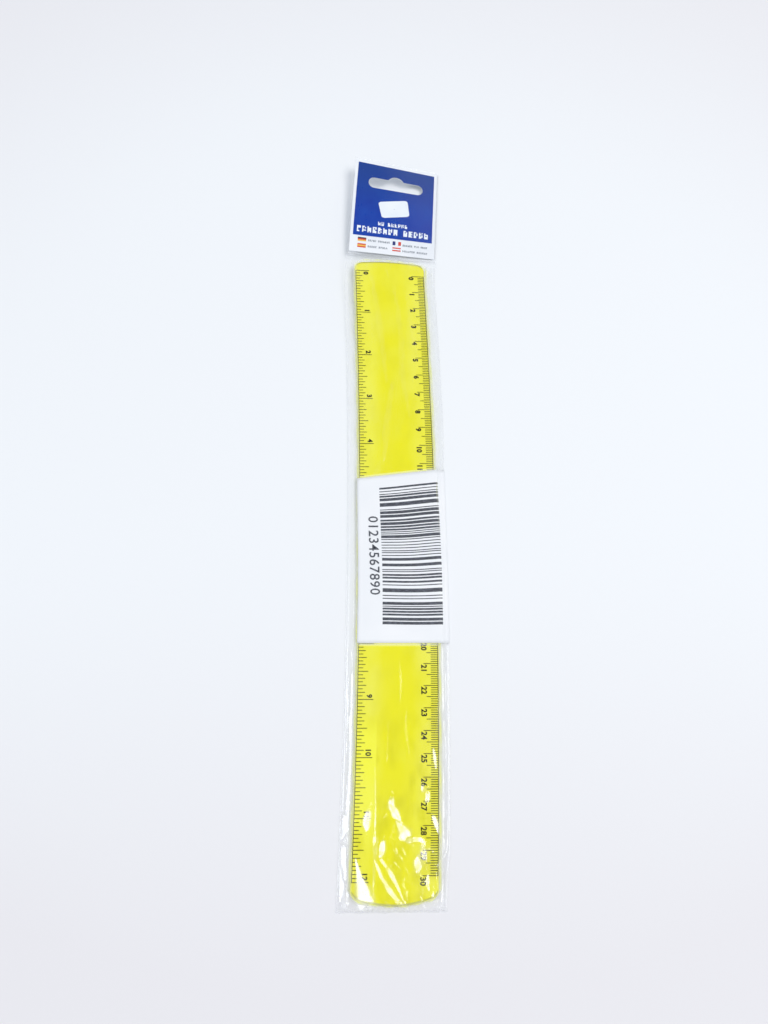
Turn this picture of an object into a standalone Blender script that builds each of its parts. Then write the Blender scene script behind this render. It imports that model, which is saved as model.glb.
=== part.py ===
# A 30 cm flexible ruler in its clear hang bag, as the pack lies on a table.
#
# Every piece is drawn on the flat pack: u runs across it, v along it from the centimetre
# scale's zero towards the header, and w up from the table. place() then lays the pack down
# with its slight sideways bow, the header's turn and the header's lifted left corner.

import math

import bmesh
import bpy
from mathutils import Vector

# The blade and its two scales, which share their middle.
blade_width = 0.038
blade_thickness = 0.001
zero_margin = 0.0084
far_margin = 0.0118
zero_end_bow = 0.00085
far_end_bow = 0.0024
corner_radius = 0.004
edge_chamfer = 0.00015
centimetre_spacing = 0.01
centimetre_count = 30
centimetre_parts = 10
inch_spacing = 0.0254
inch_count = 12
inch_parts = 16
ink_thickness = 0.00003
ink_gap = 0.00008
ink_inset = 0.00035
spine_width = 0.00025
tick_width = 0.00028
# How far each kind of graduation reaches in from the blade's edge.
centimetre_tick = 0.0068
half_centimetre_tick = 0.0054
millimetre_tick = 0.0034
inch_tick = 0.0074
half_inch_tick = 0.0048
quarter_inch_tick = 0.004
eighth_inch_tick = 0.0035
sixteenth_inch_tick = 0.0024

# The bag: two plies welded along their edges.
film_thickness = 0.00005
blade_gap = 0.0003
side_room = 0.0053
shoulder_room = 0.002
foot_room = 0.0011
foot_run = 0.0015
neck_room = 0.0014
neck_run = 0.0007
weld_radius = 0.0003
weld_gap = 0.0001
seam_height = 0.00045
seam_gap = 0.0001

# The label, stuck across the front and round the right edge.
label_thickness = 0.0001
label_gap = 0.00015
label_foot = -0.2005
label_left_height = 0.082
label_skew = 0.0055
label_inset = 0.0005
label_turn_under = 0.01
# The turn round the weld, in degrees from straight across the pack.
label_turn_start = 75
label_turn_end = -45

# The header: a card between the plies, closed by a crimped seal.
fold_gap = 0.0003
fold_height = 0.0009
seal_width = 0.0019
seal_thickness = 0.00012
card_thickness = 0.00035
card_gap = 0.0002
card_height = 0.0578
card_side_gap = 0.0004
card_end_gap = 0.0004
panel_side_margin = 0.0016
panel_top_margin = 0.0019
panel_height = 0.0457
slot_length = 0.0315
slot_height = 0.0065
slot_drop = 0.0115
hump_rise = 0.0025
hump_radius = 0.0052

# How the pack lies.
sideways_bow = 0.0034
header_shift = 0.0014
header_turn = math.radians(3.0)
header_lean = math.radians(11.5)
lean_run = 0.153
shift_run = 0.018

# Facets.
arc_steps = 8
turn_steps = 4
label_rows = 5
graduations_per_row = 12
row_step = 0.008
plain_row_step = 0.026
shoulder_step = 0.0011
weld_distance = 0.000001
flat_angle = math.radians(0.1)
# Outlines are filled this many times larger than they are, then brought to size.
drawing_scale = 1000

# The graduations by how often they come, in parts of their unit, the longest first.
centimetre_ticks = {10: centimetre_tick, 5: half_centimetre_tick, 1: millimetre_tick}
inch_ticks = {
    16: inch_tick,
    8: half_inch_tick,
    4: quarter_inch_tick,
    2: eighth_inch_tick,
    1: sixteenth_inch_tick,
}

blade_half = blade_width / 2
zero_end = zero_margin
far_end = -(centimetre_spacing * centimetre_count + far_margin)
inch_zero = (inch_spacing * inch_count - centimetre_spacing * centimetre_count) / 2

blade_columns = [-blade_half / 2, 0.0, blade_half / 2]

ply_half = blade_half + side_room - weld_gap
weld_line = blade_half + side_room + weld_radius
bag_half = weld_line + weld_radius
shoulder_half = blade_half + shoulder_room
foot_edge = far_end - foot_room - foot_run
neck_edge = zero_end + neck_room + neck_run
fold_line = neck_edge + fold_gap
seal_foot = fold_line + fold_gap
header_foot = seal_foot + seal_width + weld_gap
card_foot = header_foot + card_end_gap
card_top = card_foot + card_height
header_edge = card_top + card_end_gap
header_top = header_edge + weld_gap + 2 * weld_radius
bag_foot = foot_edge - weld_gap - 2 * weld_radius
card_half = ply_half - card_side_gap

back_film_base = label_thickness + label_gap
blade_base = back_film_base + film_thickness + blade_gap
ink_base = blade_base + blade_thickness + ink_gap
front_film_base = blade_base + blade_thickness + blade_gap
card_base = fold_height - card_thickness / 2

lean_start = header_top - lean_run
bow_middle = (bag_foot + header_foot) / 2
bow_half = (header_foot - bag_foot) / 2


def smooth(share):
    share = min(1.0, max(0.0, share))
    return share * share * (3 - 2 * share)


def bow(v):
    """The middle line's sideways offset, a parabola that is most at half the bag's length."""
    share = (v - bow_middle) / bow_half
    return sideways_bow * (1 - share * share)


def lean(v):
    """The angle by which the left side lifts, which grows with the square of the way up."""
    share = max(0.0, (v - lean_start) / lean_run)
    return header_lean * share * share


def header_point(across, v):
    """A point of the header, which is turned clockwise about the fold line's middle."""
    ahead = v - fold_line
    x = across * math.cos(header_turn) + ahead * math.sin(header_turn)
    y = ahead * math.cos(header_turn) - across * math.sin(header_turn)
    return bow(fold_line) + header_shift + x, fold_line + y


# The pack's box is centred on the origin: its left side is the bag's foot, its right side
# the header's top corner.
middle_x = (header_point(bag_half, header_top)[0] - bag_half) / 2
middle_y = (header_point(-bag_half, header_top)[1] + bag_foot) / 2


def header_share(v):
    """How far film at v has left the bag's line for the header's, from 0 to 1."""
    return smooth((v - (neck_edge - shift_run)) / shift_run)


def place(u, v, w, share=0.0):
    """Where a point of the flat pack lies, share of the way from the bag's line to the header's."""
    angle = lean(v)
    across = bag_half - (bag_half - u) * math.cos(angle) + w * math.sin(angle)
    height = (bag_half - u) * math.sin(angle) + w * math.cos(angle)
    bag_x, bag_y = across + bow(v), v
    head_x, head_y = header_point(across, v)
    x = bag_x + (head_x - bag_x) * share
    y = bag_y + (head_y - bag_y) * share
    return Vector((x - middle_x, y - middle_y, height))


def on_blade(u, v, w):
    return place(u, v, w)


def on_bag(u, v, w):
    return place(u, v, w, header_share(v))


def on_header(u, v, w):
    return place(u, v, w, 1.0)


def make_material(name, colour, roughness, alpha=1.0):
    material = bpy.data.materials.new(name)
    material.use_nodes = True
    shader = material.node_tree.nodes["Principled BSDF"]
    shader.inputs["Base Color"].default_value = (*colour, 1.0)
    shader.inputs["Roughness"].default_value = roughness
    shader.inputs["Metallic"].default_value = 0.0
    shader.inputs["Alpha"].default_value = alpha
    material.diffuse_color = (*colour, alpha)
    return material


def add_object(name, data, material, parent):
    data.materials.clear()
    data.materials.append(material)
    piece = bpy.data.objects.new(name, data)
    collection.objects.link(piece)
    piece.parent = parent
    return piece


def arc(centre_u, centre_v, radius, start, end, steps=arc_steps):
    """Points round an arc from start to end, in degrees."""
    points = []
    for step in range(steps + 1):
        angle = math.radians(start + (end - start) * step / steps)
        points.append((centre_u + radius * math.cos(angle), centre_v + radius * math.sin(angle)))
    return points


def rectangle(left, right, low, high):
    return [(left, low), (right, low), (right, high), (left, high)]


def steps_between(low, high, step):
    """Evenly spaced values from low to high, no further apart than step."""
    count = max(1, math.ceil((high - low) / step))
    return [low + (high - low) * index / count for index in range(count + 1)]


def draw_sheet(loops, thickness, chamfer=0.0):
    """A flat solid with the given outlines, its lower face at w = 0, as an edit mesh.

    The outline is drawn at drawing_scale, because a curve's fill merges points that lie
    closer than a few hundredths of Blender's unit, and is then brought to its real size.
    """
    curve = bpy.data.curves.new("outline", "CURVE")
    curve.dimensions = "2D"
    curve.fill_mode = "BOTH"
    curve.extrude = (thickness / 2 - chamfer) * drawing_scale
    curve.bevel_depth = chamfer * drawing_scale
    curve.bevel_resolution = 0
    curve.offset = -chamfer * drawing_scale
    for loop in loops:
        spline = curve.splines.new("POLY")
        spline.points.add(len(loop) - 1)
        for point, (u, v) in zip(spline.points, loop):
            point.co = (u * drawing_scale, v * drawing_scale, 0.0, 1.0)
        spline.use_cyclic_u = True
    drawing = bpy.data.objects.new("outline", curve)
    collection.objects.link(drawing)
    seen = drawing.evaluated_get(bpy.context.evaluated_depsgraph_get())
    flat = bpy.data.meshes.new_from_object(seen)
    sheet = bmesh.new()
    sheet.from_mesh(flat)
    bpy.data.objects.remove(drawing)
    bpy.data.curves.remove(curve)
    bpy.data.meshes.remove(flat)
    bmesh.ops.scale(sheet, verts=sheet.verts, vec=Vector((1, 1, 1)) / drawing_scale)
    bmesh.ops.remove_doubles(sheet, verts=sheet.verts, dist=weld_distance)
    bmesh.ops.translate(sheet, verts=sheet.verts, vec=(0.0, 0.0, thickness / 2))
    return sheet


def slice_sheet(sheet, columns, rows):
    """Cut the sheet's faces along lines of equal u and of equal v, so that it can bend there."""
    for places, normal in ((columns, Vector((1, 0, 0))), (rows, Vector((0, 1, 0)))):
        for value in places:
            everything = sheet.verts[:] + sheet.edges[:] + sheet.faces[:]
            bmesh.ops.bisect_plane(
                sheet, geom=everything, dist=weld_distance, plane_co=normal * value, plane_no=normal
            )


def lay_sheet(name, sheet, base, layout, material, parent):
    """Move each point of the flat sheet to its place, base(u, v) above the table."""
    bmesh.ops.triangulate(sheet, faces=sheet.faces, ngon_method="EAR_CLIP")
    for vertex in sheet.verts:
        u, v, w = vertex.co
        vertex.co = layout(u, v, w + base(u, v)) - parent.matrix_basis.translation
    bmesh.ops.recalc_face_normals(sheet, faces=sheet.faces)
    if sheet.calc_volume(signed=True) < 0:
        bmesh.ops.reverse_faces(sheet, faces=sheet.faces)
    mesh = bpy.data.meshes.new(name)
    sheet.to_mesh(mesh)
    sheet.free()
    return add_object(name, mesh, material, parent)


def level(height):
    """A height that is the same all over a sheet."""
    return lambda u, v: height


def add_blade(parent, material):
    """A strip with rounded corners whose ends bow outwards, the far one more."""
    reach = blade_half - corner_radius
    outline = arc(reach, zero_end - zero_end_bow - corner_radius, corner_radius, 0, 90)
    outline += crown(reach, -reach, zero_end - zero_end_bow, zero_end_bow)
    outline += arc(-reach, zero_end - zero_end_bow - corner_radius, corner_radius, 90, 180)
    outline += arc(-reach, far_end + far_end_bow + corner_radius, corner_radius, 180, 270)
    outline += crown(-reach, reach, far_end + far_end_bow, -far_end_bow)
    outline += arc(reach, far_end + far_end_bow + corner_radius, corner_radius, 270, 360)
    sheet = draw_sheet([outline], blade_thickness, edge_chamfer)
    bmesh.ops.dissolve_limit(
        sheet, angle_limit=flat_angle, verts=sheet.verts, edges=sheet.edges
    )
    rows = pack_rows(far_end + far_end_bow + corner_radius, zero_end - zero_end_bow - corner_radius)
    slice_sheet(sheet, blade_columns, rows)
    return lay_sheet("ruler_blade", sheet, level(blade_base), on_blade, material, parent)


def crown(start, end, base, rise):
    """Inner points of a shallow curved end from u = start to end, rise high in the middle."""
    points = []
    for step in range(1, arc_steps):
        share = step / arc_steps
        bulge = 1 - (2 * share - 1) ** 2
        points.append((start + (end - start) * share, base + rise * bulge))
    return points


def pack_rows(low, high):
    """Slicing lines along the pack: far apart where it lies flat, close where it leans."""
    bend = min(high, max(low, lean_start))
    return steps_between(low, bend, plain_row_step)[1:] + steps_between(bend, high, row_step)[1:-1]


def tick_outline(side, zero, step, count, lengths):
    """A comb: a thin line along the blade's edge with a graduation at each step."""
    edge = side * (blade_half - ink_inset)
    spine = edge - side * spine_width
    tips = []
    for index in range(count + 1):
        reach = next(length for each, length in lengths.items() if index % each == 0)
        middle = zero - index * step
        tip = edge - side * reach
        tips += [
            (spine, middle + tick_width / 2),
            (tip, middle + tick_width / 2),
            (tip, middle - tick_width / 2),
            (spine, middle - tick_width / 2),
        ]
    first = (edge, zero + tick_width / 2)
    last = (edge, zero - count * step - tick_width / 2)
    return [first] + tips[1:-1] + [last]


def add_scale(name, side, zero, step, count, lengths, parent, material):
    """One face of the comb's many corners, extruded to the thickness of the ink."""
    sheet = bmesh.new()
    corners = [
        sheet.verts.new((u, v, 0.0)) for u, v in tick_outline(side, zero, step, count, lengths)
    ]
    top = bmesh.ops.extrude_face_region(sheet, geom=[sheet.faces.new(corners)])["geom"]
    raised = [part for part in top if isinstance(part, bmesh.types.BMVert)]
    bmesh.ops.translate(sheet, verts=raised, vec=(0.0, 0.0, ink_thickness))
    rows = [zero - (index + 0.5) * step for index in range(0, count, graduations_per_row)]
    slice_sheet(sheet, [], rows)
    return lay_sheet(name, sheet, level(ink_base), on_blade, material, parent)


def seam(v):
    """The height at which the two plies meet, which climbs to the fold line at the neck."""
    return seam_height + (fold_height - seam_height) * header_share(v)


def fullness(u, v):
    """1 where the bag holds the blade, falling to 0 at its welds and at its neck."""
    side = smooth((ply_half - abs(u)) / (ply_half - shoulder_half))
    foot = smooth((v - foot_edge) / foot_run)
    neck = smooth((neck_edge - v) / neck_run)
    return side * foot * neck


def front_height(u, v):
    meeting = seam(v) + seam_gap / 2
    return meeting + (front_film_base - meeting) * fullness(u, v)


def back_height(u, v):
    meeting = seam(v) - seam_gap / 2 - film_thickness
    return meeting + (back_film_base - meeting) * fullness(u, v)


def add_bag_ply(name, height, parent, material):
    sheet = draw_sheet([rectangle(-ply_half, ply_half, foot_edge, neck_edge)], film_thickness)
    shoulders = steps_between(shoulder_half, ply_half, shoulder_step)[:-1]
    columns = [-u for u in shoulders] + blade_columns + shoulders
    rows = [foot_edge + foot_run / 2, foot_edge + foot_run]
    rows += pack_rows(foot_edge + foot_run, neck_edge - neck_run)
    rows += [neck_edge - neck_run, neck_edge - neck_run / 2]
    slice_sheet(sheet, columns, rows)
    return lay_sheet(name, sheet, height, on_bag, material, parent)


def add_weld(name, points, parent, material):
    """A hot-cut bead along the given points of the pack."""
    curve = bpy.data.curves.new(name, "CURVE")
    curve.dimensions = "3D"
    curve.bevel_depth = weld_radius
    curve.bevel_resolution = 0
    curve.use_fill_caps = True
    spline = curve.splines.new("POLY")
    spline.points.add(len(points) - 1)
    for point, centre in zip(spline.points, points):
        point.co = (*(centre - parent.matrix_basis.translation), 1.0)
    return add_object(name, curve, material, parent)


def add_side_weld(name, side, rows, parent, material):
    points = [on_bag(side * weld_line, v, seam(v)) for v in rows]
    return add_weld(name, points, parent, material)


def add_end_weld(name, v, parent, material):
    points = [on_bag(u, v, seam(v)) for u in (-weld_line, 0.0, weld_line)]
    return add_weld(name, points, parent, material)


def label_path():
    """The label's section: over the blade, down the bag's shoulder, round the weld and under."""
    lift = film_thickness + label_gap + label_thickness / 2
    points = [(-blade_half - label_inset, front_film_base + lift)]
    points += [(u, front_film_base + lift) for u in blade_columns]
    for u in steps_between(shoulder_half, ply_half, shoulder_step)[:-1]:
        points.append((u, front_height(u, label_foot) + lift))
    round_weld = weld_radius + label_gap + label_thickness / 2
    points += arc(
        weld_line, seam_height, round_weld, label_turn_start, label_turn_end, turn_steps
    )
    points.append((weld_line, label_thickness / 2))
    points.append((weld_line - label_turn_under, label_thickness / 2))
    return points


def add_label(parent, material):
    """A skewed sheet bent along label_path(), with its thickness from Solidify."""
    path = label_path()
    left = path[0][0]
    sheet = bmesh.new()
    bmesh.ops.create_grid(sheet, x_segments=len(path) - 1, y_segments=label_rows, size=0.5)
    for vertex in sheet.verts:
        u, w = path[round((vertex.co.x + 0.5) * (len(path) - 1))]
        height = label_left_height + label_skew * (u - left) / (bag_half - left)
        v = label_foot + height * (vertex.co.y + 0.5)
        vertex.co = on_bag(u, v, w)
    mesh = bpy.data.meshes.new("barcode_label")
    sheet.to_mesh(mesh)
    sheet.free()
    piece = add_object("barcode_label", mesh, material, parent)
    solidify = piece.modifiers.new("paper", "SOLIDIFY")
    solidify.thickness = label_thickness
    solidify.offset = 0.0
    return piece


def slot_outline():
    """The hang slot: a long slot with round ends and a round hump in the middle of its top."""
    middle = card_top - panel_top_margin - slot_drop
    half = slot_height / 2
    reach = slot_length / 2 - half
    hump_centre = middle + half + hump_rise - hump_radius
    foot = math.degrees(math.asin((hump_radius - hump_rise) / hump_radius))
    outline = arc(reach, middle, half, -90, 90)
    outline += arc(0.0, hump_centre, hump_radius, foot, 180 - foot)
    outline += arc(-reach, middle, half, 90, 270)
    return outline


def add_header_sheet(name, outline, thickness, base, slotted, parent, material):
    loops = [outline, slot_outline()] if slotted else [outline]
    sheet = draw_sheet(loops, thickness)
    columns = steps_between(-card_half, card_half, row_step)[1:-1]
    rows = steps_between(card_foot, card_top, row_step)[1:-1]
    slice_sheet(sheet, columns, rows)
    return lay_sheet(name, sheet, level(base), on_header, material, parent)


def add_header(parent, board, blue_ink, film, seal):
    plies = rectangle(-ply_half, ply_half, header_foot, header_edge)
    above = card_base + card_thickness + card_gap
    below = card_base - card_gap - film_thickness
    add_header_sheet("header_front_film", plies, film_thickness, above, True, parent, film)
    add_header_sheet("header_back_film", plies, film_thickness, below, True, parent, film)
    card = rectangle(-card_half, card_half, card_foot, card_top)
    add_header_sheet("header_card", card, card_thickness, card_base, True, parent, board)
    panel_half = card_half - panel_side_margin
    panel_top = card_top - panel_top_margin
    panel = rectangle(-panel_half, panel_half, panel_top - panel_height, panel_top)
    print_base = card_base + card_thickness + ink_gap
    add_header_sheet("header_panel_print", panel, ink_thickness, print_base, True, parent, blue_ink)
    band = rectangle(-bag_half, bag_half, seal_foot, seal_foot + seal_width)
    band_base = fold_height - seal_thickness / 2
    add_header_sheet("header_seal", band, seal_thickness, band_base, False, parent, seal)
    rise = steps_between(header_foot, header_edge, row_step)
    add_side_weld("header_left_weld", -1, rise, parent, film)
    add_side_weld("header_right_weld", 1, rise, parent, film)
    add_end_weld("header_top_weld", header_edge + weld_gap + weld_radius, parent, film)


def add_pivot(name, location):
    pivot = bpy.data.objects.new(name, None)
    pivot.location = location
    collection.objects.link(pivot)
    return pivot


for old in list(bpy.data.objects):
    bpy.data.objects.remove(old)
collection = bpy.data.collections.new("flexible_ruler_pack")
bpy.context.scene.collection.children.link(collection)

yellow = make_material("yellow_vinyl", (0.84, 0.82, 0.03), 0.25, 0.75)
black_ink = make_material("black_ink", (0.015, 0.015, 0.018), 0.5)
clear_film = make_material("clear_film", (0.92, 0.94, 0.96), 0.08, 0.18)
seal_film = make_material("crimped_film", (0.88, 0.90, 0.93), 0.3, 0.45)
label_paper = make_material("label_paper", (0.86, 0.88, 0.93), 0.6)
card_board = make_material("card_board", (0.90, 0.91, 0.94), 0.45)
panel_blue = make_material("panel_blue", (0.02, 0.08, 0.40), 0.35)

bag_pivot = add_pivot("bag_body", (0.0, 0.0, 0.0))
ruler_pivot = add_pivot("ruler_slide", on_blade(0.0, (zero_end + far_end) / 2, blade_base))
header_pivot = add_pivot("header_fold", on_header(0.0, fold_line, fold_height))

add_blade(ruler_pivot, yellow)
add_scale(
    "cm_scale_print", 1, 0.0, centimetre_spacing / centimetre_parts,
    centimetre_count * centimetre_parts, centimetre_ticks, ruler_pivot, black_ink,
)
add_scale(
    "inch_scale_print", -1, inch_zero, inch_spacing / inch_parts, inch_count * inch_parts,
    inch_ticks, ruler_pivot, black_ink,
)
add_bag_ply("bag_front_film", front_height, bag_pivot, clear_film)
add_bag_ply("bag_back_film", back_height, bag_pivot, clear_film)
bag_rise = [foot_edge] + pack_rows(foot_edge, neck_edge) + [neck_edge]
add_side_weld("left_side_weld", -1, bag_rise, bag_pivot, clear_film)
add_side_weld("right_side_weld", 1, bag_rise, bag_pivot, clear_film)
add_end_weld("bottom_weld", foot_edge - weld_gap - weld_radius, bag_pivot, clear_film)
add_label(bag_pivot, label_paper)
add_header(header_pivot, card_board, panel_blue, clear_film, seal_film)
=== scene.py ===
# Looks of a flexible ruler in its clear hang bag, lying on a pale table.
# Places on the flat pack are in millimetres: u across it, v along it from the centimetre
# scale's zero towards the header, and w up from the table. layPack() bends the flat pack to
# where it lies and turns its places into metres.
import math

import bpy
import numpy as np
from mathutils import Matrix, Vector


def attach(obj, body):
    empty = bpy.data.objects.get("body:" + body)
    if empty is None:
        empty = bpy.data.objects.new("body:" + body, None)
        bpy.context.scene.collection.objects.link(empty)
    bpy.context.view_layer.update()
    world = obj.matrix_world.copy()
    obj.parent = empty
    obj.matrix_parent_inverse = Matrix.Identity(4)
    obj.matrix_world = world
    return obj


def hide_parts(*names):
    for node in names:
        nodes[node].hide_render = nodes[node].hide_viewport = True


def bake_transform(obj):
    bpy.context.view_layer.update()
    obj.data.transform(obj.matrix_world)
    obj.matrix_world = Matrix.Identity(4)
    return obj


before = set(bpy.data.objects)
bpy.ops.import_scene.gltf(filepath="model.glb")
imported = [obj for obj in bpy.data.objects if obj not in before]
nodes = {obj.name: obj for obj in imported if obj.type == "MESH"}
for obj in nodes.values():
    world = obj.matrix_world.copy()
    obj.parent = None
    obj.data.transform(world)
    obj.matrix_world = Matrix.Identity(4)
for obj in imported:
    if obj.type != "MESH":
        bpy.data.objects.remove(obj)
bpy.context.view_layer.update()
print("frame loaded with", len(nodes), "nodes")


# ---- how the pack lies

pack = dict(
    bladeHalf=19.0, shoulderHalf=20.2, plyHalf=24.4, weldLine=24.6, bagHalf=24.9,
    bladeStart=8.4, bladeEnd=-311.8, bladeTop=1.6, footEdge=-314.5, bagFoot=-315.1,
    neckEdge=10.5, neckFrom=8.5, neckTo=13.0, bendStart=9.5, bendEnd=12.1, foldLine=10.8,
    headerFoot=13.1, cardFoot=13.5, topEdge=71.9, headerTop=72.4, seamLow=0.45, seamHigh=0.9,
    bow=3.4, shift=1.4, shiftRun=18.0, turn=math.radians(3.0), lean=math.radians(11.5),
    leanRun=153.0, millimetre=0.001, metre=1000,
)
bowMiddle = (pack["bagFoot"] + pack["headerFoot"]) / 2
bowHalf = (pack["headerFoot"] - pack["bagFoot"]) / 2
bladeMiddle = (pack["bladeStart"] + pack["bladeEnd"]) / 2

# the blade's rounded corners, how far its two ends stand out in their middles, and half of the
# end between its corners
bladeEnds = dict(corner=4.0, nearBow=0.85, farBow=2.4)
straightHalf = pack["bladeHalf"] - bladeEnds["corner"]

# the label's lower left corner, its height there, how much higher it is at the bag's edge, how
# fast its rows fan out, and how far they bow
labelPlace = dict(left=-19.3, foot=-200.5, leftHeight=82.0, skew=5.5, fan=1.8, bow=0.32)


def smoothStep(t):
    # 3t^2 - 2t^3, held at 0 and 1 outside
    t = np.clip(t, 0, 1)
    return t * t * (3 - 2 * t)


def ramp(x, start, run):
    # a smooth climb from 0 to 1 as x goes on from start by run, upwards or downwards
    return smoothStep((x - start) / run)


def ridge(x, middle, width):
    # 1 where x is at the middle, falling smoothly to 0 at width to either side
    return smoothStep(1 - abs(x - middle) / width)


def bowOffset(v):
    # a parabola, most at half the bag's length
    return pack["bow"] * (1 - ((v - bowMiddle) / bowHalf) ** 2)


def headerPoint(across, v):
    # the header's own line: turned clockwise about the middle of the fold
    ahead = v - pack["foldLine"]
    cosine, sine = math.cos(pack["turn"]), math.sin(pack["turn"])
    x = bowOffset(pack["foldLine"]) + pack["shift"] + across * cosine + ahead * sine
    return x, pack["foldLine"] + ahead * cosine - across * sine


middleX = (headerPoint(pack["bagHalf"], pack["headerTop"])[0] - pack["bagHalf"]) / 2
middleY = (headerPoint(-pack["bagHalf"], pack["headerTop"])[1] + pack["bagFoot"]) / 2


def headerShare(v):
    # how far the film has left the bag's line for the header's
    return smoothStep((v - pack["neckEdge"] + pack["shiftRun"]) / pack["shiftRun"])


def layPack(u, v, w, share=None):
    # the left side lifts by an angle that grows with the square of the way up the pack, then
    # the point goes share of the way from the bag's bowed line to the header's turned one
    u, v, w = np.broadcast_arrays(*(np.asarray(part, float) for part in (u, v, w)))
    if share is None:
        share = headerShare(v)
    climb = np.maximum(0, (v - pack["headerTop"] + pack["leanRun"]) / pack["leanRun"])
    angle = pack["lean"] * climb**2
    across = pack["bagHalf"] - (pack["bagHalf"] - u) * np.cos(angle) + w * np.sin(angle)
    height = (pack["bagHalf"] - u) * np.sin(angle) + w * np.cos(angle)
    headX, headY = headerPoint(across, v)
    bagX = across + bowOffset(v)
    x = bagX + (headX - bagX) * share - middleX
    y = v + (headY - v) * share - middleY
    return np.stack([x, y, height], -1) * pack["millimetre"]


# each pair is where a ramp starts and how far it runs
drawn = dict(
    side=(19.6, 5.0), tuck=0.9, tuckAlong=(-90, -25), footTuck=1.1, footTuckAlong=(-284, -26),
    foot=(-308, -6.5), rise=0.7, wave=0.22, slowWave=0.62, fastWave=1.9,
)


def drawIn(u, v):
    # the full bag is a little narrower on its right than it is flat, most at the foot's corner,
    # and its foot is drawn up unevenly, by two waves added to a steady rise
    tuck = drawn["tuck"] * ramp(v, *drawn["tuckAlong"])
    tuck = tuck + drawn["footTuck"] * ramp(v, *drawn["footTuckAlong"])
    wave = np.sin(u * drawn["slowWave"] + 1.0) * 0.6 + np.sin(u * drawn["fastWave"]) * 0.4
    rise = drawn["rise"] + drawn["wave"] * wave
    return u - ramp(u, *drawn["side"]) * tuck, v + ramp(v, *drawn["foot"]) * rise


# ---- meshes

def addObject(name, data):
    # an object in the scene that holds the data
    made = bpy.data.objects.new(name, data)
    bpy.context.scene.collection.objects.link(made)
    return made


def gridQuads(rows, columns):
    # the four corners of each cell of a grid whose points run row by row
    corner = (np.arange(rows - 1)[:, None] * columns + np.arange(columns - 1)).ravel()
    return np.stack([corner, corner + 1, corner + columns + 1, corner + columns], -1)


def makePiece(name, points, faces, finishes, body=None, smooth=True, values=None):
    # one object from arrays of points and faces; values holds named numbers for each point
    mesh = bpy.data.meshes.new(name)
    mesh.from_pydata(points.reshape(-1, 3).tolist(), [], np.asarray(faces).tolist())
    for key, field in (values or {}).items():
        attribute = mesh.attributes.new(key, "FLOAT", "POINT")
        attribute.data.foreach_set("value", field.astype(np.float32).ravel())
    mesh.polygons.foreach_set("use_smooth", np.full(len(mesh.polygons), smooth))
    for finish in finishes:
        mesh.materials.append(finish)
    piece = addObject(name, mesh)
    if body:
        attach(piece, body)
    return piece


def stepsBetween(low, high, step):
    # even steps from low to high, none of them longer than step
    return np.linspace(low, high, max(2, math.ceil((high - low) / step) + 1))


def arcPoints(u, v, radius, start, end, steps=9):
    # points at even angles, in degrees, round a centre on the flat pack
    turns = np.radians(np.linspace(start, end, steps))
    return np.stack([u + radius * np.cos(turns), v + radius * np.sin(turns)], -1)


def tubeAlong(centre, radius, sides):
    # a closed tube in metres round a closed path given in millimetres: at each point a ring
    # across the path, as wide as the radius there
    along = np.roll(centre, -1, 0) - np.roll(centre, 1, 0)
    along /= np.linalg.norm(along, axis=1)[:, None]
    outward = np.cross(along, [0, 0, 1.0])
    outward /= np.linalg.norm(outward, axis=1)[:, None]
    upward = np.cross(outward, along)
    turns = np.linspace(0, 2 * math.pi, sides, endpoint=False)
    ring = outward[:, None] * np.cos(turns)[:, None] + upward[:, None] * np.sin(turns)[:, None]
    points = (centre[:, None] + ring * np.reshape(radius, (-1, 1, 1))) * pack["millimetre"]
    here = np.arange(len(centre))[:, None] * sides + np.arange(sides)
    ahead = np.roll(here, -1, 0)
    quads = np.stack([here, ahead, np.roll(ahead, -1, 1), np.roll(here, -1, 1)], -1)
    return points, quads.reshape(-1, 4)


# ---- finishes

class Signal:
    # one output socket; sums and products of signals add Math nodes to its tree
    def __init__(self, owner, socket):
        self.owner, self.socket = owner, socket

    def math(self, operation, *values):
        return self.owner.node("Math", dict(operation=operation), dict(enumerate(values)))

    def __add__(self, other): return self.math("ADD", self, other)
    def __radd__(self, other): return self.math("ADD", other, self)
    def __sub__(self, other): return self.math("SUBTRACT", self, other)
    def __rsub__(self, other): return self.math("SUBTRACT", other, self)
    def __mul__(self, other): return self.math("MULTIPLY", self, other)
    def __rmul__(self, other): return self.math("MULTIPLY", other, self)
    def __truediv__(self, other): return self.math("DIVIDE", self, other)
    def __pow__(self, other): return self.math("POWER", self, other)
    def __abs__(self): return self.math("ABSOLUTE", self)

    def clamp(self):
        # held between 0 and 1
        return self.owner.node("Clamp", {}, {0: self})

    def band(self, low, high):
        # 0 below low, 1 above high, and a smooth climb between
        settings = dict(interpolation_type="SMOOTHSTEP")
        return self.owner.node("MapRange", settings, {0: self, 1: low, 2: high})


class Nodes:
    # one node tree of a material or a world
    def __init__(self, tree):
        self.tree = tree

    def feed(self, socket, value):
        # a signal is linked to the socket, and anything else is its value
        if isinstance(value, Signal):
            self.tree.links.new(value.socket, socket)
        else:
            socket.default_value = value

    def node(self, kind, settings=None, inputs=None, out=0):
        # a node of that kind: its settings first, then its inputs; out is the output to use
        made = self.tree.nodes.new("ShaderNode" + kind)
        for key, value in (settings or {}).items():
            setattr(made, key, value)
        for key, value in (inputs or {}).items():
            self.feed(made.inputs[key], value)
        return Signal(self, made.outputs[out])

    def surface(self, output, share, first, second):
        # the output shows the first shader, and by share the second
        mixed = self.node("MixShader", {}, {0: share, 1: first, 2: second})
        self.feed(self.tree.nodes[output].inputs["Surface"], mixed)


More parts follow.
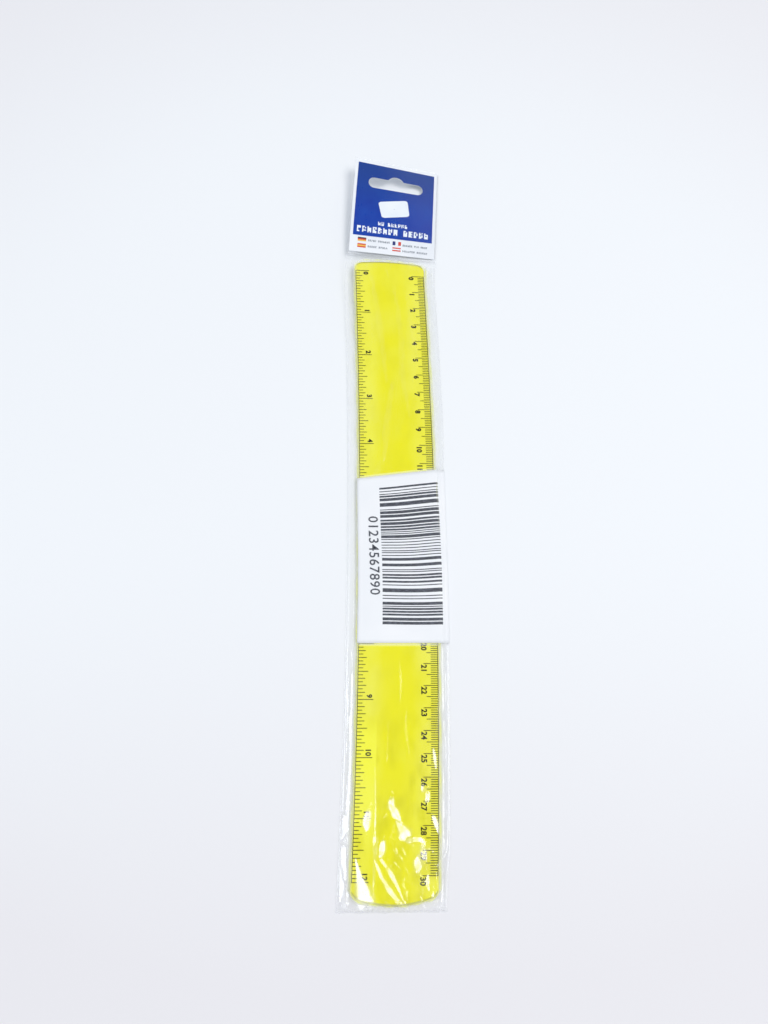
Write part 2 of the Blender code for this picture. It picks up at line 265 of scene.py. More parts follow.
class Finish(Nodes):
    # one material; constants go to the shader's own sockets
    def __init__(self, name, **constants):
        self.material = bpy.data.materials.new(name)
        self.material.use_nodes = True
        super().__init__(self.material.node_tree)
        self.shader = self.tree.nodes["Principled BSDF"]
        self.own = Signal(self, self.shader.outputs[0])
        self.set(**constants)

    def set(self, **values):
        # the shader's sockets by name, with _ for a space
        for key, value in values.items():
            self.feed(self.shader.inputs[key.replace("_", " ")], value)

    def place(self):
        return self.node("TexCoord", out="Object")

    def axis(self, index):
        # one of the three coordinates, in metres
        return self.node("SeparateXYZ", {}, {0: self.place()}, out=index)

    def along(self):
        # the flat pack's v, in millimetres
        return self.axis(1) * pack["metre"] + middleY

    def noise(self, scale, detail=3.0, place=None):
        inputs = {"Vector": place or self.place(), "Scale": scale, "Detail": detail}
        return self.node("TexNoise", {}, inputs)

    def stretched(self, scales):
        return self.node("Mapping", {}, {"Vector": self.place(), "Scale": scales})

    def value(self, name):
        # a number that the mesh holds for each point
        return self.node("Attribute", dict(attribute_name=name), out="Fac")

    def mix(self, share, first, second):
        return self.node("Mix", dict(data_type="RGBA"), {0: share, 6: first, 7: second}, out=2)

    def bump(self, height, distance, strength=1.0):
        inputs = {"Strength": strength, "Distance": distance, "Height": height}
        self.set(Normal=self.node("Bump", {}, inputs))

    def overClear(self, share, tint):
        # the shader covers share of what shows through a clear layer of that tint
        clear = self.node("BsdfTransparent", {}, {"Color": tint})
        self.surface("Material Output", share, clear, self.own)


def dress(node, finish):
    # a CAD node keeps its mesh and gets this finish alone
    mesh = nodes[node].data
    mesh.materials.clear()
    mesh.materials.append(finish)


# lengths in millimetres on the flat pack; a pair is where a band begins and where it is full
vinylLook = dict(
    deep=(0.915, 0.865, 0.001, 1), pale=(0.945, 0.925, 0.085, 1), shaded=(0.78, 0.735, 0.001, 1),
    bright=(1.0, 0.985, 0.045, 1), rim=(0.48, 0.48, 0.08, 1), side=(0.60, 0.58, 0.008, 1),
    tint=(0.97, 0.96, 0.20, 1), cover=0.93, cloudScale=52.0, streakScale=14.0, patchScale=150.0,
    paleFrom=(4.0, 13.0), deeperBelow=-50, deeperRun=60.0, shadedBelow=-215, shadedRun=50.0,
    fold=-9.2, foldTop=-230, foldFoot=-296, lineBeyond=0.7, lineWidth=1.1,
    nearRim=(0.3, 1.0), farRim=(0.4, 1.2), rimShare=0.85,
)


def yellowVinyl():
    # clouds and streaks mix two yellows, paler towards the scales and deeper down the blade;
    # small patches shade it, most near the foot, as under crumpled film
    look = vinylLook
    finish = Finish("yellowVinyl", Specular_IOR_Level=0.3)
    along = finish.along()
    reach = (along - bowMiddle) / bowHalf
    across = finish.axis(0) * pack["metre"] + middleX - pack["bow"] + reach * reach * pack["bow"]
    cloud = finish.noise(look["cloudScale"]).band(0.36, 0.66)
    lengthwise = finish.stretched((5.0, 1.0, 1.0))
    streak = finish.noise(look["streakScale"], 4.0, lengthwise).band(0.4, 0.68)
    tone = cloud * 0.26 + streak * 0.24 + abs(across).band(*look["paleFrom"]) * 0.6 - 0.04
    tone = tone - (look["deeperBelow"] - along).band(0.0, look["deeperRun"]) * 0.15
    colour = finish.mix(tone.clamp(), look["deep"], look["pale"])
    patches = finish.noise(look["patchScale"], 4.0, finish.stretched((1.0, 0.6, 1.0)))
    share = (look["shadedBelow"] - along).band(0.0, look["shadedRun"]) * 0.6 + 0.26
    colour = finish.mix(patches.band(0.42, 0.72) * share, colour, look["shaded"])
    # painted highlight: brighter left of the fold near the foot and on a line beyond each label
    # end
    paintedHighlight = (look["fold"] - across).band(0.0, 0.5) * (look["foldTop"] - along).band(0.0, 16.0)
    paintedHighlight = paintedHighlight * (along - look["foldFoot"]).band(0.0, 26.0)
    slope = labelPlace["skew"] / (pack["bagHalf"] - labelPlace["left"])
    above = along - labelPlace["foot"]
    top = above - labelPlace["leftHeight"] - (across - labelPlace["left"]) * slope
    for beyond in (above + look["lineBeyond"], top - look["lineBeyond"]):
        paintedHighlight = paintedHighlight + (1 - abs(beyond) / look["lineWidth"]).band(0.0, 0.5)
    colour = finish.mix(paintedHighlight.clamp(), colour, look["bright"])
    # painted shade: a dark line inside each bowed end, where the light bends in the sheet's edge
    bowed = across * across / straightHalf**2
    corner = abs(across) - straightHalf
    corner = corner.math("MAXIMUM", corner, 0.0)
    corner = corner * corner / (2 * bladeEnds["corner"])
    near = pack["bladeStart"] - along - bowed * bladeEnds["nearBow"] - corner
    far = along - pack["bladeEnd"] - bowed * bladeEnds["farBow"] - corner
    rim = (1 - near.band(*look["nearRim"])) + (1 - far.band(*look["farRim"]))
    colour = finish.mix((rim * look["rimShare"]).clamp(), colour, look["rim"])
    # the sheet's cut sides, painted darker: shade where the light bends at the edge
    facing = finish.node("SeparateXYZ", {}, {0: finish.node("TexCoord", out="Normal")}, out=2)
    side = 1 - abs(facing).band(0.3, 0.9)
    finish.set(Base_Color=finish.mix(side, colour, look["side"]))
    finish.set(Roughness=finish.noise(60.0).band(0.2, 0.8) * 0.1 + 0.18)
    finish.bump(finish.noise(26.0, 2.0), 0.0004, 0.25)
    finish.overClear((look["cover"] + side * 0.1).clamp(), look["tint"])
    return finish.material


edgeLook = dict(
    sides=[(0.70, 0.68, 0.03, 1), (0.86, 0.84, 0.09, 1)],
    ends=[(0.28, 0.26, 0.01, 1), (0.46, 0.43, 0.02, 1)], endsFrom=(157.0, 161.0),
)


def vinylEdge():
    # the blade's rounded edge, where the light runs out of the sheet: bright along the sides,
    # dark round the ends
    finish = Finish("vinylEdge", Roughness=0.25)
    tone = finish.noise(120.0).band(0.3, 0.7)
    end = abs(finish.along() - bladeMiddle).band(*edgeLook["endsFrom"])
    sides, ends = (finish.mix(tone, *edgeLook[part]) for part in ("sides", "ends"))
    finish.set(Base_Color=finish.mix(end, sides, ends))
    return finish.material


filmLook = dict(
    clear=(0.95, 0.965, 0.99, 1), lit=(0.84, 0.87, 0.20, 1), tint=(0.992, 0.993, 0.994, 1),
    glowMilk=0.55, milkDulls=7, grazing=0.4, sheen=0.19, smooth=0.14, sheenRough=0.13,
    grain=900.0, crinkle=240.0,
)


def clearFilm(name, cover, haze):
    # a mirror's share that grows at grazing angles and on creases by "sheen", a white veil by
    # "haze", in part painted light, and painted yellow light from the blade's edge by "glow"
    look = filmLook
    finish = Finish(name)
    glow, sheen = finish.value("glow"), finish.value("sheen")
    milky = finish.value("haze") + glow * look["glowMilk"] + haze
    grazing = finish.node("LayerWeight", {}, {"Blend": 0.35}, out="Facing") ** 3
    rough = milky * 2 + sheen * look["sheenRough"] + look["smooth"]
    finish.set(Base_Color=finish.mix(glow, look["clear"], look["lit"]))
    finish.set(Metallic=(1 - milky * look["milkDulls"]).clamp(), Roughness=rough.clamp())
    crinkle = finish.noise(look["crinkle"], 2.0) * 1.5
    finish.bump(finish.noise(look["grain"], 2.0) + crinkle, 0.00006, 0.2)
    share = cover + grazing * look["grazing"] + sheen * look["sheen"] + milky
    finish.overClear(share.clamp(), look["tint"])
    return finish.material


# print, paper and board: two close tones, and what differs from the coated board's settings
printLooks = dict(
    blackInk=dict(
        low=(0.006, 0.006, 0.003), high=(0.022, 0.022, 0.010), scale=700.0, detail=2.0,
        band=(0.3, 0.75), roughness=0.6, gloss=0.1, grain=None,
    ),
    barInk=dict(
        low=(0.032, 0.036, 0.048), high=(0.10, 0.11, 0.14), scale=500.0, band=(0.35, 0.75),
        stretch=(1.0, 3.0, 1.0), gloss=0.5, grain=None,
    ),
    labelPaper=dict(
        low=(0.845, 0.862, 0.892), high=(0.885, 0.895, 0.918), scale=45.0, detail=2.0,
        roughness=0.62, gloss=0.5, grain=(1500.0, 3.0, 0.00003),
    ),
    panelBlue=dict(
        low=(0.001, 0.034, 0.345), high=(0.003, 0.056, 0.395), gloss=0.1,
        top=(0.006, 0.046, 0.265),
    ),
    whiteBoard=dict(low=(0.83, 0.86, 0.91), high=(0.89, 0.91, 0.945)),
    inkWhite=dict(low=(0.80, 0.86, 0.93), high=(0.88, 0.92, 0.96)),
    inkGrey=dict(low=(0.20, 0.23, 0.28), high=(0.30, 0.33, 0.38)),
    inkBlack=dict(low=(0.02, 0.018, 0.02), high=(0.04, 0.035, 0.04)),
    inkRed=dict(low=(0.62, 0.045, 0.03), high=(0.70, 0.08, 0.05)),
    inkGold=dict(low=(0.86, 0.47, 0.05), high=(0.90, 0.55, 0.09)),
    inkNavy=dict(low=(0.012, 0.016, 0.12), high=(0.02, 0.03, 0.17)),
)
topBand = (34.0, 72.0)  # where on the header a third tone comes in


def printFinish(
    name, low, high, scale=70.0, detail=3.0, band=(0.3, 0.7), stretch=None, top=None,
    grain=(1100.0, 2.0, 0.00002), roughness=0.5, gloss=0.2,
):
    # two close tones in soft clouds, a third towards the header's top, and a fine grain
    finish = Finish(name, Roughness=roughness, Specular_IOR_Level=gloss)
    place = finish.stretched(stretch) if stretch else None
    tone = finish.noise(scale, detail, place).band(*band)
    colour = finish.mix(tone, (*low, 1), (*high, 1))
    if top:
        colour = finish.mix(finish.along().band(*topBand), colour, (*top, 1))
    finish.set(Base_Color=colour)
    if grain:
        fineness, layers, depth = grain
        finish.bump(finish.noise(fineness, layers), depth, 0.3)
    return finish.material


vinyl = yellowVinyl()
edgeVinyl = vinylEdge()
film = clearFilm("clearFilm", 0.015, 0.0)
sealFilm = clearFilm("crimpedFilm", 0.05, 0.05)
printed = {name: printFinish(name, **look) for name, look in printLooks.items()}
print("finishes made")


# ---- the ruler: the CAD blade and scales, the numbers and the lit edge

dress("ruler_blade", vinyl)
dress("cm_scale_print", printed["blackInk"])
dress("inch_scale_print", printed["blackInk"])

numbers = dict(
    size=3.5, inchSize=3.3, bold=0.18, thinning=0.55, inkHeight=1.70, centimetre=10.0,
    inch=25.4, centimetres=30, inches=12, inchZero=2.4, centimetreBase=11.0, centimetreIn=0.5,
    centimetreAfter=0.45, inchBase=-14.2, inchBefore=0.7,
)


def textFlat(words, size, bold, spacing=1.0):
    # the text's filled outline as points and triangles, x along the reading, y up
    curve = bpy.data.curves.new("words", "FONT")
    curve.body, curve.size, curve.offset = words, size, bold
    curve.resolution_u, curve.space_character = 3, spacing
    holder = addObject("words", curve)
    seen = holder.evaluated_get(bpy.context.evaluated_depsgraph_get())
    flat = bpy.data.meshes.new_from_object(seen)
    flat.calc_loop_triangles()
    points = np.zeros(len(flat.vertices) * 3)
    flat.vertices.foreach_get("co", points)
    triangles = np.zeros(len(flat.loop_triangles) * 3, np.int32)
    flat.loop_triangles.foreach_get("vertices", triangles)
    bpy.data.objects.remove(holder)
    bpy.data.curves.remove(curve)
    bpy.data.meshes.remove(flat)
    return points.reshape(-1, 3)[:, :2], triangles.reshape(-1, 3)


def joinFlats(flats):
    # one set of points and faces from several
    counts = np.cumsum([0] + [len(points) for points, _ in flats])
    faces = [corners + start for (_, corners), start in zip(flats, counts)]
    return np.concatenate([points for points, _ in flats]), np.concatenate(faces)


def downThePack(flat, baseU, startV):
    # text that reads towards the ruler's far end, its tops towards the centimetre edge
    points, triangles = flat
    return np.stack([baseU + points[:, 1], startV - points[:, 0]], -1), triangles[:, ::-1]


def layPrint(name, flats, height, ink, body="header", share=1.0):
    # flat shapes laid at a height over the pack, in one ink; share is layPack's
    points, faces = joinFlats(flats)
    spots = layPack(points[:, 0], points[:, 1], height, share)
    return makePiece(name, spots, faces, [printed[ink]], body, smooth=False)


def strokeBold(count, last):
    # the numbers' strokes grow thinner down the blade
    return numbers["bold"] * (1 - numbers["thinning"] * count / last)


def scaleNumbers():
    # a number just past each centimetre tick, and one just before each inch tick
    flats = []
    last = numbers["centimetres"]
    for count in range(last + 1):
        flat = textFlat(str(count), numbers["size"], strokeBold(count, last))
        start = -count * numbers["centimetre"] - numbers["centimetreAfter"]
        base = numbers["centimetreBase"] - numbers["centimetreIn"] * (1 - count / last)
        flats.append(downThePack(flat, base, start))
    last = numbers["inches"]
    for count in range(last + 1):
        flat = textFlat(str(count), numbers["inchSize"], strokeBold(count, last))
        tick = numbers["inchZero"] - count * numbers["inch"]
        before = numbers["inchBefore"]
        start = tick + before + flat[0][:, 0].max() if count else tick - before
        flats.append(downThePack(flat, numbers["inchBase"], start))
    height = numbers["inkHeight"]
    return layPrint("scaleNumbers", flats, height, "blackInk", "ruler", 0.0)


edge = dict(radius=0.23, inset=0.12, drop=0.13, sides=8, step=3.0)


def crownPoints(start, end, base, rise, steps=25):
    # a parabola from start to end that stands out by rise in the middle, without its ends
    t = np.linspace(-1, 1, steps)
    return np.stack([start + (end - start) * (t + 1) / 2, base + rise * (1 - t**2)], -1)[1:-1]


def bladeOutline(inset):
    # rounded corners and bowed ends, moved inwards by inset
    half, corner = pack["bladeHalf"] - inset, bladeEnds["corner"] - inset
    near = pack["bladeStart"] - bladeEnds["nearBow"] - inset
    far = pack["bladeEnd"] + bladeEnds["farBow"] + inset
    reach, nearTurn, farTurn = half - corner, near - corner, far + corner
    rise = stepsBetween(farTurn, nearTurn, edge["step"])[1:-1]
    return np.concatenate([
        arcPoints(reach, nearTurn, corner, 0, 90),
        crownPoints(reach, -reach, near, bladeEnds["nearBow"]),
        arcPoints(-reach, nearTurn, corner, 90, 180),
        np.stack([np.full(len(rise), -half), rise[::-1]], -1),
        arcPoints(-reach, farTurn, corner, 180, 270),
        crownPoints(-reach, reach, far, -bladeEnds["farBow"]),
        arcPoints(reach, farTurn, corner, 270, 360),
        np.stack([np.full(len(rise), half), rise], -1),
    ])


def bladeEdge():
    # a thin tube just inside the blade's outline, under its top
    outline = bladeOutline(edge["inset"])
    height = pack["bladeTop"] - edge["drop"]
    centre = layPack(outline[:, 0], outline[:, 1], height, 0.0) / pack["millimetre"]
    points, quads = tubeAlong(centre, np.full(len(centre), edge["radius"]), edge["sides"])
    return makePiece("bladeEdge", points, quads, [edgeVinyl], "ruler")


scaleNumbers()
bladeEdge()
print("ruler numbered and edged")


# ---- the film

# a pair is where a ramp starts and how far it runs
film3d = dict(
    sideStep=0.24, middleStep=0.42, sideFrom=19.0, fineStep=0.26, plainStep=0.95,
    labelFootStep=0.4, labelTopStep=0.45, neckStep=0.35, fineBelow=-254.0, slope=0.27, seed=11,
    strayCount=230, strayWidth=(0.22, 0.5), straySlope=0.9, stray=0.32, strayOnBlade=0.16,
    cornersBelow=-310, sag=0.10, mottleLift=0.05, rightShine=0.4, rightFrom=(19.3, 0.8),
    footShine=0.5, footAlong=(-268, -20), footAcross=(19.1, 0.6), crumpleAlong=(-262, -14),
    crumpleAcross=(19.5, 1.5), neck=(8.8, -2.0), brimSide=(24.3, -0.8), seamGap=0.03,
)
# sheens: facets of crumpled film that face a lamp. Each has how strong it is, its share of the
# full slope across its path (none on the bag's own shoulders), how steeply it falls along the
# path, and then the path: u, v and half-width of each point
sheens = [
    (0.75, 0.9, 0, (-2.2, -269.9, 1.3), (-2.3, -271.9, 1.5)),
    (0.95, 1, 0, (-1.9, -272.7, 1.3), (-0.4, -274.8, 1.8), (1.5, -277.5, 0.6)),
    (1.1, 1, 0, (0.3, -278.1, 0.6), (2.3, -280.7, 1.5), (4, -283.4, 2.6), (5.9, -286, 1.1)),
    (0.9, 0.5, 0.13, (5.5, -286, 0.8), (8.6, -285.4, 0.8), (10.7, -285.5, 0.8),
     (12.4, -287.3, 0.5)),
    (0.9, 0.9, 0, (11.5, -288.2, 0.8), (12, -290.2, 0.8)),
    (0.8, 0.9, 0, (12.3, -290.6, 1.5), (12.8, -293.2, 1)),
    (1.1, 0.9, -0.05, (10.3, -292.6, 1.1), (9.9, -295.2, 2.1), (9.6, -298, 0.9)),
    (1.2, 0.9, -0.04, (-12.2, -274.6, 1.2), (-13.2, -278.4, 1.8), (-12.9, -281.5, 0.7)),
    (0.45, 0.8, 0, (-9.9, -256, 0.25), (-9.3, -270, 0.3), (-9.1, -278.2, 0.45),
     (-9.2, -284.4, 0.5), (-9, -292, 0.6), (-9.1, -306.8, 0.35)),
    (1.1, 0.9, -0.03, (-5.4, -286.7, 0.9), (-5.8, -289.4, 1.5), (-6.3, -291.9, 0.9)),
    (0.5, 1, 0, (-6.9, -291.7, 0.9), (-5.7, -294.3, 0.6), (-4, -296, 0.7), (-1.8, -298.9, 1.1),
     (0.8, -303.4, 0.6), (5.3, -312, 0.3)),
    (0.6, 0.9, 0, (-9.1, -284.9, 0.9), (-8.8, -288.5, 1), (-8.7, -293.9, 0.5)),
    (0.5, 1, 0, (-8.5, -294.3, 0.6), (-5.9, -300, 0.9), (-2.4, -305.2, 1.1), (0.9, -308.9, 1.1),
     (4.7, -312.2, 0.5)),
    (1.4, 0.95, 0, (-17.1, -293.1, 0.3), (-15.8, -298, 0.9), (-14.6, -302.5, 1.9),
     (-13.2, -306.6, 3.1), (-11.9, -311, 3.3)),
    (1.1, 0.9, 0, (16.4, -276.8, 0.8), (18, -279.6, 1.3), (18.7, -282.5, 0.6)),
    (0.75, 1, 0, (11.4, -264.2, 0.8), (11.7, -265.5, 0.8)),
    (0.85, 0.9, 0, (13.7, -267, 1), (13.5, -269.5, 0.9)),
    (0.8, 0.9, 0, (14.2, -300, 0.4), (13.9, -302.7, 1), (14.5, -305.2, 0.4)),
    (0.7, 1, 0, (16.6, -306.6, 0.4), (16.4, -309.4, 0.6)),
    (0.8, 0.8, 0, (16.2, -248.6, 0.4), (17, -252, 0.9), (17.4, -256, 0.4)),
    # the right side strip: a line close to the blade, one near the edge, a crease across both
    (0.55, 0, 0, (20.7, 1, 0.35), (20.9, -60, 0.3), (20.8, -110, 0.3)),
    (0.7, 0, 0, (20.8, -202, 0.25), (20.8, -228, 0.3), (20.7, -262, 0.3), (20.7, -286, 0.25)),
    (1, 0.9, 0, (19.4, -204, 0.2), (19.4, -236, 0.3), (19.1, -262, 0.45), (19.3, -285, 0.25)),
    (0.5, 0, 0, (23.7, -3, 0.3), (23.6, -70, 0.25), (23.7, -108, 0.3)),
    (1, 0.5, 0, (23.7, -205, 0.25), (23.6, -238, 0.3), (23.5, -262, 0.3), (23.3, -284, 0.35),
     (22.8, -290.4, 0.3)),
    (1, 0.8, 0, (20.2, -293.4, 0.45), (22.6, -290.6, 0.4)),
    (0.95, 0.8, -0.1, (20.4, -293.2, 0.45), (18.2, -296.2, 0.4)),
    (0.95, 0, 0, (20.8, -297.5, 0.4), (20.7, -305.4, 0.5), (20.9, -311.5, 0.6)),
    (0.8, 0, 0, (23.6, -294.5, 0.3), (23.4, -306, 0.3), (23, -312, 0.5)),
    # the left side strip: two lines, then the broad facets near the foot
    (0.6, 0, 0, (-23.8, 2, 0.3), (-23.6, -60, 0.3), (-23.8, -118, 0.3)),
    (0.5, 0, 0, (-20.9, -4, 0.3), (-21.1, -55, 0.3), (-20.9, -112, 0.25)),
    (1.5, 0, 0, (-23.7, -203, 0.3), (-23.9, -240, 0.35), (-23.7, -262, 0.35),
     (-23.4, -275.2, 0.4)),
    (1.5, 0.3, 0, (-21.2, -215, 0.3), (-21, -236.8, 0.45), (-21.2, -262.3, 0.45),
     (-21.6, -277.1, 0.6)),
    (1.9, 0.6, 0, (-21.9, -276.1, 1), (-22.5, -280.4, 1.9), (-23.5, -285.3, 0.5)),
    (1.9, 0.6, 0, (-22.7, -289, 1.3), (-22.9, -293.1, 1.5), (-21.8, -295.9, 0.7),
     (-21.4, -300.4, 0.5)),
    (1.9, 0.6, 0, (-23.7, -293.2, 0.6), (-23.2, -301.3, 1.2), (-22.2, -306.8, 1.3),
     (-21.2, -312, 0.8)),
    (0.9, 0.3, 0, (-23.8, -221.9, 0.3), (-22.6, -227.9, 0.3)),
    (0.9, 0.3, 0, (-22.6, 9.4, 0.5), (-21.2, 4.5, 0.35)),
    # broad, faint ridges over the blade's upper half and below the label
    (0.16, 0.8, 0, (-10, -2, 0.8), (-6.5, -30, 1.6), (-4, -64, 0.7)),
    (0.13, 0.7, 0, (2, -8, 0.6), (5, -34, 1.4), (4, -58, 1.6), (7.5, -84, 0.6)),
    (0.15, 0.8, 0, (-1, -66, 0.8), (-4.5, -88, 1.8), (-6, -107, 0.8)),
    (0.12, 0.7, 0, (9, -12, 0.7), (11.5, -44, 1)),
    (0.01, 0.6, 0, (0.5, -209, 0.4), (1.5, -218, 1), (1, -228, 0.4)),
    (0.01, 0.5, 0, (4, -231, 0.4), (3.4, -240, 1.2), (5.5, -250, 0.5)),
    (0.01, 0.5, 0, (-4.2, -236, 0.5), (-4.5, -252, 0.7)),
    # at the neck
    (1.4, 0, 0, (20.5, 8.4, 0.5), (20.7, 5.5, 0.6), (20.7, 1.5, 0.3)),
    (1, 0.3, 0, (22.9, 4.4, 0.5), (23.5, 1, 0.4), (23.8, -4, 0.3)),
]
# stray creases at random: along both side strips, over the lower end, in the foot's corners and
# at the neck. A draw below upTo picks the kind; then come its ranges across and along the pack,
# its lean's middle and spread, and its range of lengths
strays = [
    dict(upTo=0.40, both=True, u=(20.2, 23.6), v=(-313, 6), lean=(0, 0.08), length=(8, 30)),
    dict(upTo=0.72, both=False, u=(-5, 19), v=(-311, -282), lean=(0.45, 0.35), length=(1.5, 6)),
    dict(upTo=0.90, both=True, u=(17.5, 24.0), v=(-315, -310), lean=(0.2, 0.9), length=(1, 3)),
    dict(upTo=1.00, both=False, u=(-22, 22), v=(2, 9), lean=(0, 0.5), length=(2, 5)),
]


def rounded(path, times=2):
    # corners cut twice: each leg keeps its middle half, and the ends stay
    path = np.array(path, float)
    for _ in range(times if len(path) > 2 else 0):
        start, end = path[:-1], path[1:]
        legs = np.stack([start * 0.75 + end * 0.25, start * 0.25 + end * 0.75], 1)
        path = np.concatenate([path[:1], legs.reshape(-1, 3)[1:-1], path[-1:]])
    return path


def alongPath(u, v, path):
    # for each point: its signed distance to the left of the path, the width there, and how far
    # along the path it is; and the path's length
    nearest = np.full(u.shape, np.inf)
    signed, width, travel = np.zeros(u.shape), np.ones(u.shape), np.zeros(u.shape)
    gone = 0.0
    for (u0, v0, wide0), (u1, v1, wide1) in zip(path[:-1], path[1:]):
        along, length = np.array([u1 - u0, v1 - v0]), math.hypot(u1 - u0, v1 - v0)
        share = np.clip(((u - u0) * along[0] + (v - v0) * along[1]) / length**2, 0, 1)
        offU, offV = u - u0 - share * along[0], v - v0 - share * along[1]
        distance = np.hypot(offU, offV)
        closer = distance < nearest
        side = np.sign(along[0] * offV - along[1] * offU)
        nearest = np.where(closer, distance, nearest)
        signed = np.where(closer, distance * np.where(side == 0, 1, side), signed)
        width = np.where(closer, wide0 + (wide1 - wide0) * share, width)
        travel = np.where(closer, gone + length * share, travel)
        gone += length
    return signed, width, travel, gone


facet = dict(spread=1.25, flank=(-1, 2), back=(-3.4, 2.4), along=(1.6, -0.6), lit=(1.35, -0.9))


def facetRise(u, v, path, slope, fall=0.0):
    # a ridge with one smooth flank: down by about slope across the path's width, towards its
    # left side, and back to the film over twice that width on its right. It falls along the
    # path too, from its start, or rises where fall is below 0
    height, lit = np.zeros(u.shape), np.zeros(u.shape)
    path = rounded(path)
    reach = path[:, 2].max() * 5 + 1
    near = (u > path[:, 0].min() - reach) & (u < path[:, 0].max() + reach)
    near &= (v > path[:, 1].min() - reach) & (v < path[:, 1].max() + reach)
    signed, width, travel, length = alongPath(u[near], v[near], path)
    x = signed / width / facet["spread"]
    base = 2 * slope * width + abs(fall) * 0.5
    lean = fall * (length - travel) if fall > 0 else -fall * travel
    height[near] = base * (1 - ramp(x, *facet["flank"])) * ramp(x, *facet["back"])
    height[near] += lean * ramp(abs(x), *facet["along"])
    lit[near] = ramp(abs(x), *facet["lit"])
    return height, lit


def straySheens(rng, count):
    # that many stray creases, each a short path that narrows along its way
    found = []
    for _ in range(count):
        draw = rng.random()
        kind = next(kind for kind in strays if draw < kind["upTo"])
        side = rng.choice([-1, 1]) if kind["both"] else 1
        u, v = side * rng.uniform(*kind["u"]), rng.uniform(*kind["v"])
        lean, length = rng.normal(*kind["lean"]), rng.uniform(*kind["length"])
        wide = rng.uniform(*film3d["strayWidth"])
        endU, endV = u + length * math.sin(lean), v - length * math.cos(lean)
        found.append([(u, v, wide), (endU, endV, wide * 0.4)])
    return found


rng = np.random.default_rng(film3d["seed"])
straySet = straySheens(rng, film3d["strayCount"])
sagWaves = rng.uniform(-1, 1, (14, 4))
mottleWaves = rng.uniform(-1, 1, (16, 3))


def waveSum(u, v, waves, across, along, turn):
    # waves added up; a wave's three numbers set its pace across and along, and its start
    total = np.zeros(u.shape)
    for a, b, c in waves:
        total = total + np.sin(u * a * across + v * b * along + c * turn)
    return total


def clearOfLabel(v):
    # 0 under the label, where the film lies flat, and 1 away from it
    return 1 - ramp(v, -206, 4) * ramp(v, -109, -4)


def filmSag(u, v):
    # slow waves of different strengths, most at the sides and the lower end
    total = np.zeros(u.shape)
    for a, b, strength, start in sagWaves:
        wave = waveSum(u, v, [(a, b, start)], 0.42, 0.22, 6.3)
        total = total + wave * (0.5 + 0.5 * abs(strength))
    reach = 0.35 + 0.65 * ramp(v, -235, -40) + 0.5 * ramp(abs(u), 18, 3)
    return film3d["sag"] * total * reach / 3


def labelPoint(u, t):
    # the rows fan out, from level at the foot to sloping up to the right at the top, and bow a
    # little in between
    share = (u - labelPlace["left"]) / (pack["bagHalf"] - labelPlace["left"])
    bow = labelPlace["bow"] * np.sin(share * 6.6 + t * 2.0) * t * (1 - t) * 4
    climb = labelPlace["skew"] * share * t ** labelPlace["fan"]
    return labelPlace["foot"] + labelPlace["leftHeight"] * t + climb + bow


# how milky the film is in each place, in part painted light; a pair is where a ramp starts and how
# far it runs
veil = dict(
    cling=0.02, clouds=(-0.25, 0.8), byTheSides=(6, 5), blade=(19, -0.6), paintedHighlight=0.01,
    fold=(-9.4, -0.4), foldTop=(-232, -14), foldFoot=(-296, 24), label=0.34, labelBeyond=0.6,
    labelWidth=1.1, rightStrip=0.05, leftStrip=0.012, strips=(19.4, 1.0), hem=0.06, hemLine=23.9,
    hemWidth=0.5, foot=0.10, footFrom=(-312.2, -1.2), header=0.028, headerFrom=(14, 4),
    headerAcross=(2, 26), bagEnds=9,
)


def filmVeil(u, v):
    # where the film clings to the blade it looks milky: slow clouds, most by the blade's sides;
    # painted light veils all of the blade left of a fold line near the lower end, and a line along
    # the label's ends
    clouds = waveSum(u, v, mottleWaves[:10], 0.42, 0.2, 9.1) / 3
    cling = veil["cling"] * ramp(clouds, *veil["clouds"])
    cling = cling * (0.5 + 0.6 * ramp(abs(u), *veil["byTheSides"]))
    paintedHighlight = ramp(u, *veil["fold"]) * ramp(v, *veil["foldTop"]) * ramp(v, *veil["foldFoot"])
    below = abs(v - labelPlace["foot"] + veil["labelBeyond"])
    beyond = np.minimum(below, abs(v - labelPoint(u, 1.0) - veil["labelBeyond"]))
    onBlade = cling + veil["paintedHighlight"] * paintedHighlight + veil["label"] * ridge(beyond, 0, veil["labelWidth"])
    onBlade = onBlade * ramp(abs(u), *veil["blade"])
    # the strips beside it, the right one milkier as painted light on the lamp's side, the hem at
    # the weld, the foot, and the film over the header, where a painted reflection grows to the
    # right
    strip = np.where(u > 0, veil["rightStrip"], veil["leftStrip"]) * ramp(abs(u), *veil["strips"])
    strip = strip + veil["hem"] * ridge(abs(u), veil["hemLine"], veil["hemWidth"])
    strip = strip + veil["foot"] * ramp(v, *veil["footFrom"]) * (0.6 + 0.4 * np.sin(u * 2.3))
    header = ramp(v, *veil["headerFrom"]) * ramp(u + v * 0.25, *veil["headerAcross"])
    return (onBlade + strip) * (v < veil["bagEnds"]) + veil["header"] * header


def edgeGlow(u, v):
    # yellow light from the blade's edge on the film: most just beyond the blade's outline
    bowed = (u / straightHalf) ** 2
    corner = np.maximum(abs(u) - straightHalf, 0) ** 2 / (2 * bladeEnds["corner"])
    ahead = v - pack["bladeStart"] + bowed * bladeEnds["nearBow"] + corner
    behind = pack["bladeEnd"] + bowed * bladeEnds["farBow"] + corner - v
    beyond = np.maximum(np.maximum(ahead, behind), abs(u) - pack["bladeHalf"])
    return ridge(beyond, 0.5, 1.3) * (0.75 + 0.25 * np.sin(v * 0.31 + u))


def seamHeight(v):
    # the plies meet low along the bag and higher at the header
    return pack["seamLow"] + (pack["seamHigh"] - pack["seamLow"]) * headerShare(v)


